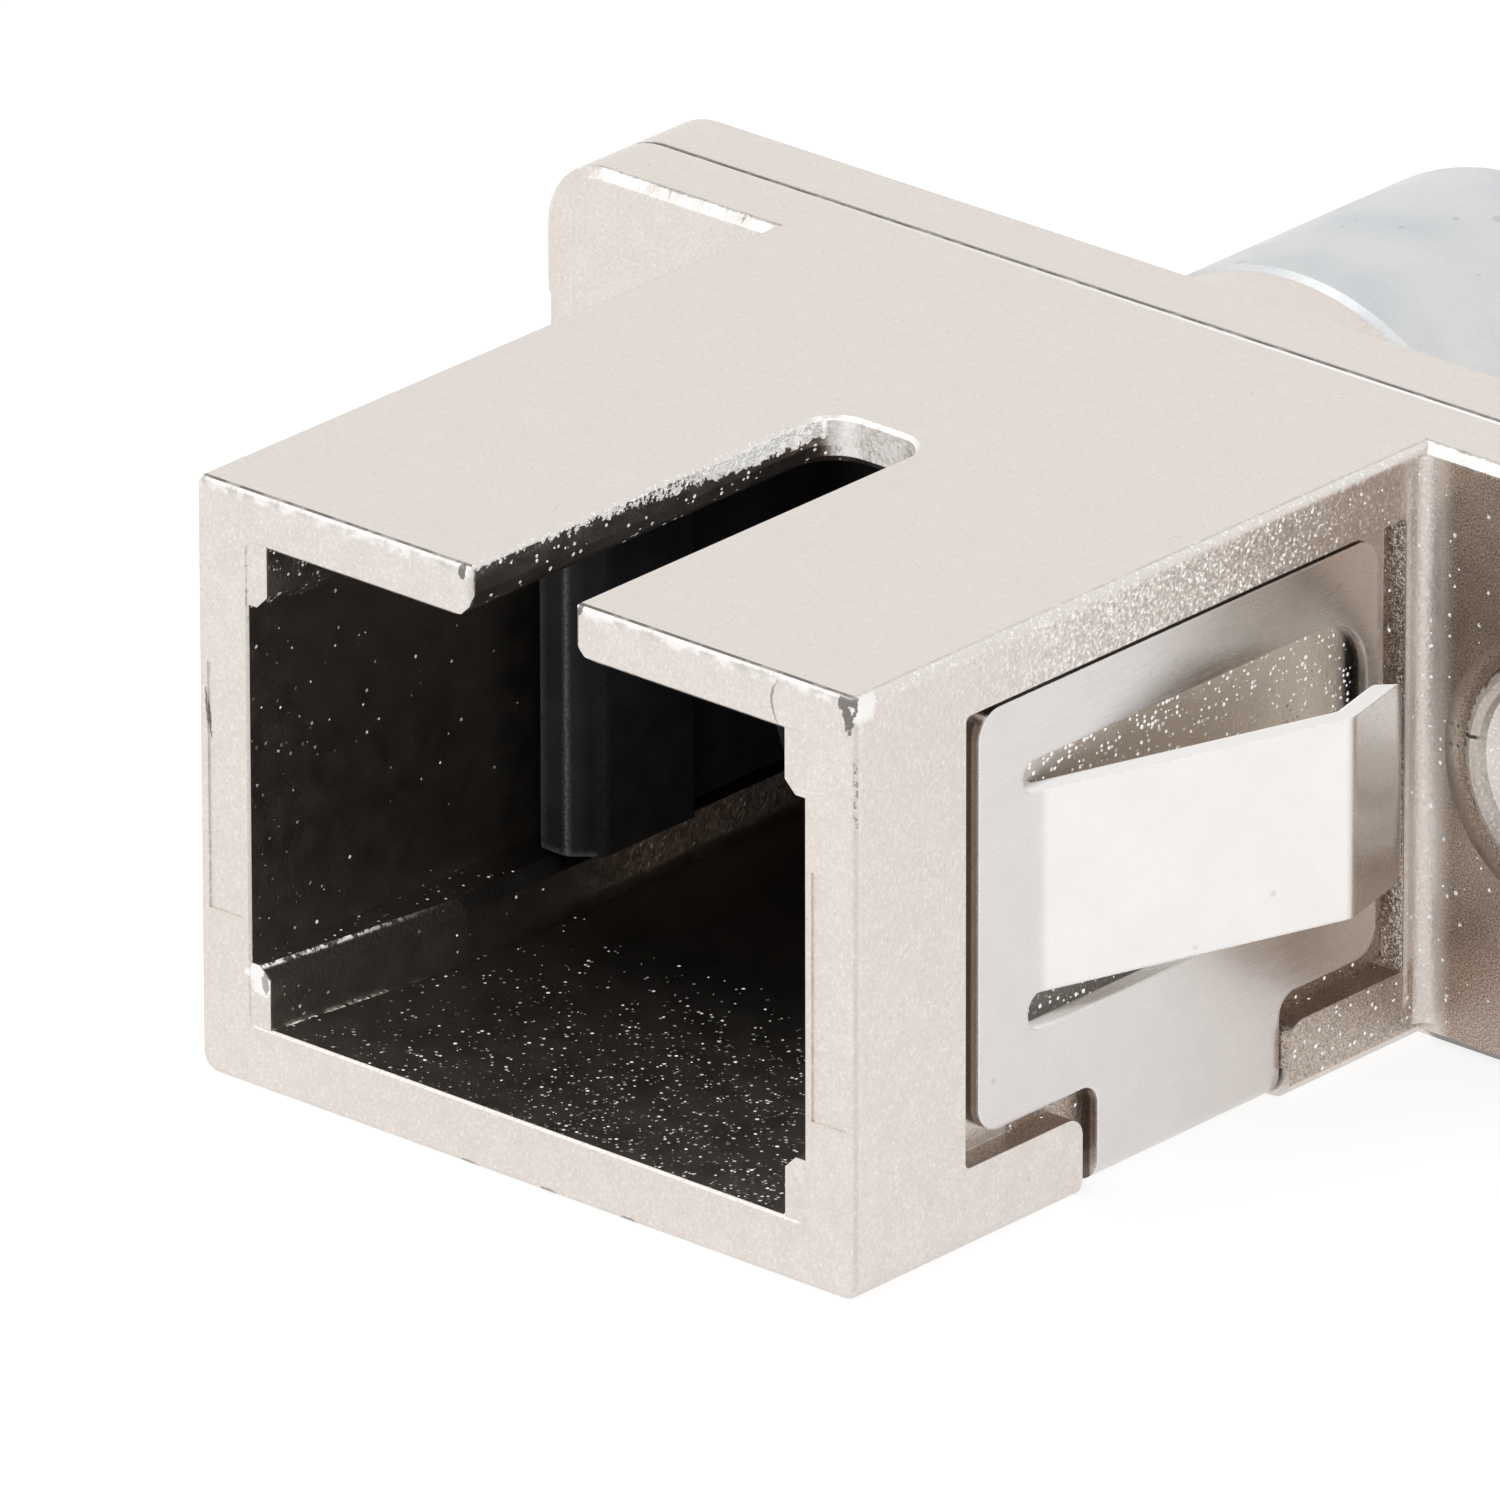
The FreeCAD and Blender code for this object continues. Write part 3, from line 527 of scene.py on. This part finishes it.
def edge_highlight_and_shade(g, colour):
    """Painted shade and highlight along the body's upper edges: dark lines, a bright band and glints;
    painted shade on the front corners, darker in dashes.
    """
    vary = g.step(g.swell, 0.35, 0.55, 0.5, 1.0)
    body = g.within(g.x, BODY_SIDE + 0.02, CRISP)
    front = g.step(g.ny, -0.25, -0.1, 1.0, 0.0)
    side = g.step(g.sideways, 0.15, 0.3)
    upper = g.step(g.z, BODY_TOP - 0.2, BODY_TOP - 0.15)
    ragged_z = g.sum(g.z, g.ragged(0.05))
    # painted highlight on the rounding of the front upper edges
    shine = g.product(g.step(ragged_z, BODY_TOP - 0.2, BODY_TOP - 0.1), g.step(g.nz, 0.84, 0.76), front)
    bright = g.mix(g.step(g.swell, 0.35, 0.6), NICKEL_DIM_HIGHLIGHT, NICKEL_HIGHLIGHT)
    colour = g.mix(shine, colour, bright)
    # painted glints along the sides' upper edges
    glitter = g.product(g.step(ragged_z, BODY_TOP - 0.26, BODY_TOP - 0.12), side, body)
    glitter = g.product(glitter, g.step(g.grains, 0.0, 1.0, 0.15, 1.0))
    colour = g.mix(glitter, colour, GLINT_AND_BARE_METAL)
    # painted shade: dark lines at the top of the edge roundings
    front_line = g.product(front, g.band(g.nz, 0.82, 0.98, 0.012), 0.9)
    side_line = g.product(side, g.band(g.nz, 0.9, 0.985, 0.012), 0.25)
    colour = g.mix(g.product(upper, body, vary, g.either(front_line, side_line)), colour, SHADE_AND_CRACK_DARK)
    # painted shade along the front corners, darker in dashes
    corner = g.product(g.band(g.ny, -0.88, -0.5, 0.06), g.within(g.nz, 0.3, 0.1), g.step(g.depth, 0.3, 0.2))
    dashes = g.product(g.step(g.uneven, 0.0, 0.25), g.band(g.z, 2.6, 3.7, 0.15), 0.6)
    return g.mix(g.product(corner, g.either(0.13, dashes)), colour, SHADE_AND_CRACK_DARK)


def parting_line(g, colour):
    """Dark groove between the two flange plates, and the painted highlight on the edge in front of it."""
    outer = g.within(g.ny, 0.85, 0.05)
    # painted highlight on the edge in front of the groove
    edge = g.band(g.y, PARTING - 0.13, PARTING - 0.05, 0.015)
    edge = g.product(edge, outer, g.step(g.x, -9.0, 6.0, 0.1, 0.95))
    groove = g.near(g.y, PARTING, 0.04, 0.012)
    groove = g.product(groove, outer, g.step(g.swell, 0.3, 0.55, 0.55, 1.0))
    return g.mix(groove, g.mix(edge, colour, GLINT_AND_BARE_METAL), SHADE_AND_CRACK_DARK)


def crack(g, x, z, half, slope, bow, width):
    """Mask of a bowed upright crack in the mouth's face, round a middle at x and z."""
    along = g.less(g.z, z)
    middle = g.sum(x, g.product(along, slope), g.product(along, along, bow), g.ragged(0.01))
    off = g.size(g.less(g.x, middle))
    taper = g.step(g.size(along), 0.3 * half, half, width, 0.4 * width)
    line = g.step(g.less(off, taper), -0.012, 0.008, 1.0, 0.0)
    return g.product(line, g.within(along, half, CRISP))


def spot(g, x, z, half_x, half_z):
    """Mask of a ragged spot in the mouth's face, round a middle at x and z."""
    off = g.vector("SUBTRACT", g.place, (x, 0, z))
    off = g.vector("MULTIPLY", off, (1 / half_x, 0, 1 / half_z))
    far = g.node("VectorMath", {0: off}, operation="LENGTH").outputs["Value"]
    return g.step(g.sum(far, g.ragged(0.25)), 0.8, 1.05, 1.0, 0.0)


def corner_chip(g):
    """Masks of the chip that runs down the mouth's upper right corner, and of the bare metal beside it."""
    off = g.sum(g.less(g.sum(g.x, g.depth), CHIP_LINE), g.ragged(0.05))
    height = g.product(g.band(g.z, *CHIP_ENDS, SOFT), g.step(g.depth, 0.9, 0.8))
    width = g.step(g.z, 4.0, 4.6, 0.01, 0.2)
    wedge = g.step(g.less(g.size(off), width), -0.02, 0.015, 1.0, 0.0)
    middle = g.product(g.near(off, 0.06, 0.035, SOFT), g.band(g.z, 4.4, 4.52, SOFT))
    bare = g.product(g.band(off, 0.12, 0.55, 0.05), g.step(g.z, 4.2, 4.34))
    return g.product(wedge, height, g.besides(middle)), g.product(g.either(bare, middle), height)


def ear_marks(g):
    """Mask of the dark lines in the ears' front chamfer: painted shade along the brink above and at the
    right ear's foot, and cracks above.
    """
    chamfer = g.product(g.band(g.ny, -0.88, -0.45, 0.05), g.step(g.y, -0.2, -0.1))
    # painted shade on the right ear's lower bevel and along the chamfer's brink
    foot = g.product(g.step(g.nz, -0.3, -0.5), g.step(g.x, BODY_SIDE, BODY_SIDE + 0.2))
    brink = g.step(g.sum(g.z, g.ragged(0.01)), BODY_TOP - 0.035, BODY_TOP - 0.02)
    swayed = g.sum(g.x, g.ragged(0.05))
    cracks = g.either(*[g.near(swayed, x, 0.018, 0.012) for x in EAR_CRACKS])
    cracks = g.product(cracks, g.step(g.z, BODY_TOP - 0.16, BODY_TOP - 0.1))
    return g.product(chamfer, g.either(foot, g.product(brink, 0.7), g.product(cracks, 0.6)))


def marks(g, colour):
    """Chips, cracks and notches at the left edge, top right corner, slot lip, rib and ears; painted
    highlight on the rib's front, painted shade in the dents of the rib and the foot and on the ears'
    chamfer.
    """
    face = g.product(g.step(g.ny, -0.25, -0.35), g.step(g.depth, 0.35, 0.25))
    chip, bare = corner_chip(g)
    # painted highlight on the rib's front round its dent
    rib_highlight = g.product(spot(g, x=-5.2, z=-3.05, half_x=0.28, half_z=0.32), face)
    colour = g.mix(g.product(g.either(bare, rib_highlight), 0.85), colour, GLINT_AND_BARE_METAL)

    rib_crack = crack(g, x=4.79, z=4.21, half=0.34, slope=-0.02, bow=0.96, width=0.024)
    # painted shade in the dents of the rib and the foot
    rib_dent = spot(g, x=-5.11, z=-3.09, half_x=0.075, half_z=0.18)
    foot_dents = [spot(g, x, FOOT_DENT_Z, half_x=0.18, half_z=0.05) for x in FOOT_DENTS]
    faint = g.product(g.either(rib_crack, rib_dent, *foot_dents), face)
    colour = g.mix(g.product(faint, 0.6), colour, SHADE_AND_CRACK_DARK)

    left_nick = crack(g, x=-6.19, z=0.92, half=0.40, slope=-0.1, bow=0.0, width=0.03)
    left_notch = spot(g, x=-1.18, z=4.53, half_x=0.08, half_z=0.12)
    right_notch = spot(g, x=1.1, z=4.58, half_x=0.06, half_z=0.08)
    dark = g.product(g.either(left_nick, left_notch, right_notch), face)
    return g.mix(g.product(g.either(dark, chip, ear_marks(g)), 0.85), colour, SHADE_AND_CRACK_DARK)


def turned_share(g, crystal):
    """How far the surface turns to its leaning direction: crystals, slot end, rear wall, deep rib."""
    rear_wall = g.product(g.recess_walls, g.step(g.ny, -0.5, -0.8), g.spread(g.fine, 0.25, 0.5))
    rib_face = g.product(g.step(g.nx, 0.8, 0.95), g.band(g.z, 0.14 - CAVITY_TOP, RIB_TOP, 0.1))
    deep_rib = g.product(g.inside, rib_face, g.step(g.depth, 3.0, 8.0, 0.0, 0.36))
    return g.either(crystal, g.product(g.slot_end, 0.22), rear_wall, deep_rib)


def leaning_normal(g, share, chance):
    """Normal turned by a share to the direction that the area's crystals lean to, a little at random."""
    lean = g.turn(g.inside, g.outwards(*SIDE_LEAN), PORT_LEAN)
    lean = g.turn(g.either(g.slot, g.slot_end), lean, SLOT_LEAN)
    stray = g.vector("SCALE", g.vector("SUBTRACT", chance, (0.5, 0.5, 0.5)), scale=0.35)
    return g.vector("NORMALIZE", g.turn(share, g.normal, g.vector("ADD", lean, stray)))


def nickel_casting():
    """Nickel-plated die casting: mottled grain, crystals with painted glints, painted brown shade in
    corners and recesses, painted shade and highlight along the edges.
    """
    g = CastingGraph("nickel_casting")
    # painted brown shade
    colour = g.mix(g.brown_shade, NICKEL, NICKEL_BROWN_SHADE)
    # painted shade over the square port and the key slot's walls
    colour = g.mix(g.either(g.inside, g.slot), colour, port_shade(g))
    colour = recess_light_and_shade(g, g.dim(colour, mottle(g)))
    crystal, glint_colour, chance = crystals(g)
    # painted glints on grains and crystals
    colour = g.mix(g.either(grain_glints(g), crystal), colour, glint_colour)
    colour = marks(g, parting_line(g, edge_highlight_and_shade(g, colour)))
    turned = turned_share(g, crystal)
    normal = leaning_normal(g, turned, chance)
    g.set(
        Base_Color=colour,
        Metallic=1.0,
        Roughness=g.less(g.spread(g.swell, 0.38, 0.46), g.product(turned, 0.15)),
        Normal=g.bump(g.product(g.grain, g.coarse), 0.010, normal),
    )
    return g.material


def zinc_barrel():
    """Plain zinc casting: matt, bluish grey, with soft clouds, small specks and painted shade along its
    foot.
    """
    g = Graph("zinc_barrel")
    cloud = g.step(g.noise(2.2), 0.40, 0.72)
    colour = g.mix(cloud, ZINC, ZINC_CLOUD)
    specks = g.dots(2.5, least=0.90, largest=0.3)[0]
    grain = g.noise(0.06)
    tone = g.less(g.step(grain, 0.2, 0.8, 0.97, 1.02), g.product(specks, 0.16))
    # painted shade along the barrel's foot
    base_shade = g.product(g.step(g.y, BARREL_BASE + 0.05, BARREL_BASE + 0.02), 0.7)
    g.set(
        Base_Color=g.mix(base_shade, g.dim(colour, tone), SHADE_AND_CRACK_DARK),
        Metallic=1.0,
        Roughness=g.spread(g.noise(0.8, detail=3.0), 0.42, 0.55),
        Normal=g.bump(g.sum(grain, g.noise(0.6)), 0.006),
    )
    return g.material


def spring_steel():
    """Rolled steel strip: smooth, with faint drawn lines; painted highlight on the tongue and the plate's
    back, painted shade towards the back, painted shadow on the front cuts and in the gap along the top,
    painted highlight on the edges.
    """
    g = Graph("spring_steel")
    soft_normal, edges = g.rounded(0.07)
    stretched = g.vector("MULTIPLY", g.place, (1.0, 0.06, 1.0))
    lines = g.noise(0.035, roughness=0.6, place=stretched)
    smear = g.noise(0.9, detail=3.0, roughness=0.6)
    scratches = g.dots(1.7, least=0.92, largest=0.14)[0]
    tone = g.less(g.spread(smear, 0.975, 1.015), g.product(scratches, 0.18))

    raised = g.product(g.step(g.across, CLIP_FACE + 0.01, CLIP_FACE + 0.08), g.step(g.sideways, 0.2, 0.6))
    tongue = g.product(raised, g.step(g.y, TONGUE_BEND - 0.15, TONGUE_BEND + 0.05, 1.0, 0.0))
    plate = g.product(g.near(g.across, CLIP_FACE, 0.02, CRISP), g.step(g.sideways, 0.9, 0.98))
    # painted highlight on the tongue and the plate's back, painted shade towards the back elsewhere
    steel_highlight = g.either(tongue, g.product(plate, g.step(g.y, -2.9, -1.3)))
    shade = g.product(g.step(g.y, -7.0, -1.5, 0.0, 0.45), g.besides(steel_highlight))
    colour = g.mix(shade, g.mix(steel_highlight, STEEL, STEEL_HIGHLIGHT), STEEL_SHADE)

    # painted shadow on the front cut faces, darkest deep in the gap
    front_cut = g.step(g.ny, -0.6, -0.85)
    cut_depth = g.step(g.across, CLIP_FACE - 0.17, CLIP_FACE - 0.11)
    colour = g.mix(front_cut, g.dim(colour, tone), g.mix(cut_depth, SHADE_AND_CRACK_DARK, STEEL_SHADE))
    # painted shadow in the gap along the plate's top, painted highlight on the upward cuts and the outer
    # edges
    upwards = g.step(g.nz, 0.5, 0.8)
    top_gap_shadow = g.product(upwards, g.step(g.z, CLIP_TOP - 0.1, CLIP_TOP - 0.05))
    upper_cut = g.product(g.less(upwards, top_gap_shadow), 0.6)
    rim = g.product(edges, g.step(g.across, CLIP_FACE - 0.1, CLIP_FACE - 0.05))
    colour = g.mix(top_gap_shadow, g.mix(g.either(rim, upper_cut), colour, GLINT_AND_BARE_METAL), SHADE_AND_CRACK_DARK)
    normal = g.turn(upper_cut, soft_normal, g.outwards(*CUT_LEAN))
    g.set(
        Base_Color=colour,
        Metallic=1.0,
        Roughness=g.sum(g.spread(lines, 0.20, 0.26), g.product(smear, 0.05)),
        Normal=g.bump(lines, 0.0005, normal),
    )
    return g.material


def rivet_nickel():
    """Plated rivet: smoother than the casting, with painted glints on its grains, a dark ring round its lip
    and a split in the right one.
    """
    g = Graph("rivet_nickel")
    grain = g.noise(0.06, detail=3.0, roughness=0.6)
    smear = g.noise(0.4, detail=3.0)
    tone = g.sum(g.step(grain, 0.25, 0.75, 0.86, 1.06), g.spread(smear, -0.06, 0.05))
    # painted glints on the rivet's grains
    colour = g.mix(g.product(g.step(grain, 0.6, 0.67), 0.7), g.dim(RIVET, tone), GLINT_AND_BARE_METAL)
    off = g.less(g.across, RIVET_X)
    radius = g.math("SQRT", g.sum(g.product(off, off), g.product(g.z, g.z)))
    groove = g.step(g.sum(radius, g.ragged(0.05)), RIVET_LIP_R - 0.04, RIVET_LIP_R + 0.03, 0.0, 0.85)
    split = g.product(g.near(g.z, RIVET_SPLIT_Z, 0.03, 0.015), g.band(g.x, *RIVET_SPLIT_ENDS, 0.05))
    g.set(
        Base_Color=g.mix(g.either(groove, split), colour, RIVET_DARK),
        Metallic=1.0,
        Roughness=g.spread(smear, 0.26, 0.38),
        Normal=g.bump(grain, 0.006),
    )
    return g.material


def dark_plastic():
    """Black moulding of the latch: slightly glossy, with a fine grain, a painted highlight on the hooks'
    tip edges and a band of painted shade where their lead-in ends.
    """
    g = Graph("dark_plastic")
    soft_normal, edges = g.rounded(0.15)
    grain = g.noise(0.05)
    flow = g.noise(0.9)
    # painted highlight along the hooks' tip edges, faint behind the lead-in
    hook_highlight = g.product(edges, g.spread(grain, 0.3, 1.0))
    hook_highlight = g.product(hook_highlight, g.step(g.y, HOOK_LEAD_END - 0.1, HOOK_LEAD_END - 0.05, 1.0, 0.12))
    # painted shade in a band where the lead-in ends
    hook_shade = g.product(g.near(g.y, HOOK_LEAD_END - 0.08, 0.12, 0.06), 0.45)
    tone = g.product(g.spread(flow, 0.8, 1.25), g.besides(hook_shade))
    g.set(
        Base_Color=g.mix(hook_highlight, g.dim(PLASTIC, tone), PLASTIC_HIGHLIGHT),
        Roughness=g.spread(flow, 0.38, 0.50),
        Specular_IOR_Level=0.07,
        Normal=g.bump(grain, 0.006, soft_normal),
    )
    return g.material


def white_ceramic():
    """Polished ceramic of the alignment sleeve."""
    g = Graph("white_ceramic")
    cloud = g.noise(0.8)
    g.set(
        Base_Color=g.dim(CERAMIC, g.spread(cloud, 0.97, 1.02)),
        Roughness=g.spread(cloud, 0.14, 0.22),
        Normal=g.bump(g.noise(0.05), 0.001),
    )
    return g.material


FINISHES = {
    nickel_casting: ("sc_housing", "rear_flange"),
    zinc_barrel: ("bayonet_barrel",),
    spring_steel: ("spring_clip",),
    rivet_nickel: ("flange_rivets",),
    dark_plastic: ("inner_latch", "rear_sleeve_holder"),
    white_ceramic: ("split_sleeve",),
}


def dress():
    """Give each piece its finish."""
    for finish, names in FINISHES.items():
        material = finish()
        for name in names:
            nodes[name].data.materials.clear()
            nodes[name].data.materials.append(material)


def add_camera():
    """The photograph's camera, from its two angles and its roll."""
    a, e = CAMERA_AZIMUTH, CAMERA_ELEVATION
    back = Vector((math.sin(a) * math.cos(e), -math.cos(a) * math.cos(e), math.sin(e)))
    right = Vector((math.cos(a), math.sin(a), 0))
    up = back.cross(right)
    c, s = math.cos(CAMERA_ROLL), math.sin(CAMERA_ROLL)
    turn = Matrix((c * right + s * up, c * up - s * right, back)).transposed()
    data = bpy.data.cameras.new("camera")
    data.sensor_width = CAMERA_SENSOR
    data.lens = CAMERA_LENS
    data.clip_start = CAMERA_NEAR
    data.clip_end = CAMERA_FAR
    camera = bpy.data.objects.new("camera", data)
    camera.matrix_world = Matrix.Translation(CAMERA_PLACE) @ turn.to_4x4()
    bpy.context.scene.collection.objects.link(camera)
    bpy.context.scene.camera = camera


def seen_directly(tree):
    """1 for rays from the camera and for those that metal or glass sends on."""
    path = tree.nodes.new("ShaderNodeLightPath").outputs
    total = path["Is Camera Ray"]
    for name in ("Is Glossy Ray", "Is Transmission Ray"):
        largest = tree.nodes.new("ShaderNodeMath")
        largest.operation = "MAXIMUM"
        tree.links.new(total, largest.inputs[0])
        tree.links.new(path[name], largest.inputs[1])
        total = largest.outputs[0]
    return total


def lit_or_seen(tree, lighting, seen):
    """Shader that lights the object in one way and is seen in another."""
    either = tree.nodes.new("ShaderNodeMixShader")
    tree.links.new(seen_directly(tree), either.inputs[0])
    tree.links.new(lighting.outputs[0], either.inputs[1])
    tree.links.new(seen.outputs[0], either.inputs[2])
    return either.outputs[0]


def floor_material():
    """Plain matt floor that, where it is seen, glows to white and keeps part of the shadow."""
    material = bpy.data.materials.new("floor")
    material.use_nodes = True
    tree = material.node_tree
    tree.nodes.clear()
    plain = tree.nodes.new("ShaderNodeBsdfDiffuse")
    plain.inputs["Color"].default_value = FLOOR_PLAIN
    shaded = tree.nodes.new("ShaderNodeBsdfDiffuse")
    shaded.inputs["Color"].default_value = FLOOR_SHADED
    glow = tree.nodes.new("ShaderNodeEmission")
    glow.inputs["Strength"].default_value = FLOOR_GLOW
    white = tree.nodes.new("ShaderNodeAddShader")
    tree.links.new(shaded.outputs[0], white.inputs[0])
    tree.links.new(glow.outputs[0], white.inputs[1])
    output = tree.nodes.new("ShaderNodeOutputMaterial")
    tree.links.new(lit_or_seen(tree, plain, white), output.inputs[0])
    return material


def add_floor():
    """Level floor that the part lies on."""
    mesh = bpy.data.meshes.new("floor")
    z = cad_low.z
    sides = ((-1, -1), (1, -1), (1, 1), (-1, 1))
    corners = [(x * FLOOR_REACH, y * FLOOR_REACH, z) for x, y in sides]
    mesh.from_pydata(corners, [], [(0, 1, 2, 3)])
    mesh.materials.append(floor_material())
    floor = bpy.data.objects.new("floor", mesh)
    bpy.context.scene.collection.objects.link(floor)


def add_world():
    """White surroundings: a white background, and a little less light than that on the object."""
    world = bpy.data.worlds.new("studio")
    bpy.context.scene.world = world
    world.use_nodes = True
    tree = world.node_tree
    lighting = tree.nodes["Background"]
    seen = tree.nodes.new("ShaderNodeBackground")
    for background, strength in ((lighting, ROOM_LIGHT), (seen, ROOM_SEEN)):
        background.inputs["Color"].default_value = WHITE
        background.inputs["Strength"].default_value = strength
    surface = tree.nodes["World Output"].inputs["Surface"]
    tree.links.new(lit_or_seen(tree, lighting, seen), surface)


def add_lamp():
    """Square soft lamp, aimed at the object's middle."""
    data = bpy.data.lights.new("key", "AREA")
    data.size = LAMP_SIZE
    data.energy = LAMP_POWER
    lamp = bpy.data.objects.new("key", data)
    lamp.location = LAMP_PLACE
    lamp.rotation_mode = "QUATERNION"
    lamp.rotation_quaternion = (-Vector(LAMP_PLACE)).to_track_quat("-Z", "Y")
    bpy.context.scene.collection.objects.link(lamp)


bpy.context.scene.view_settings.view_transform = "Standard"
add_camera()
add_floor()
add_world()
add_lamp()
dress()
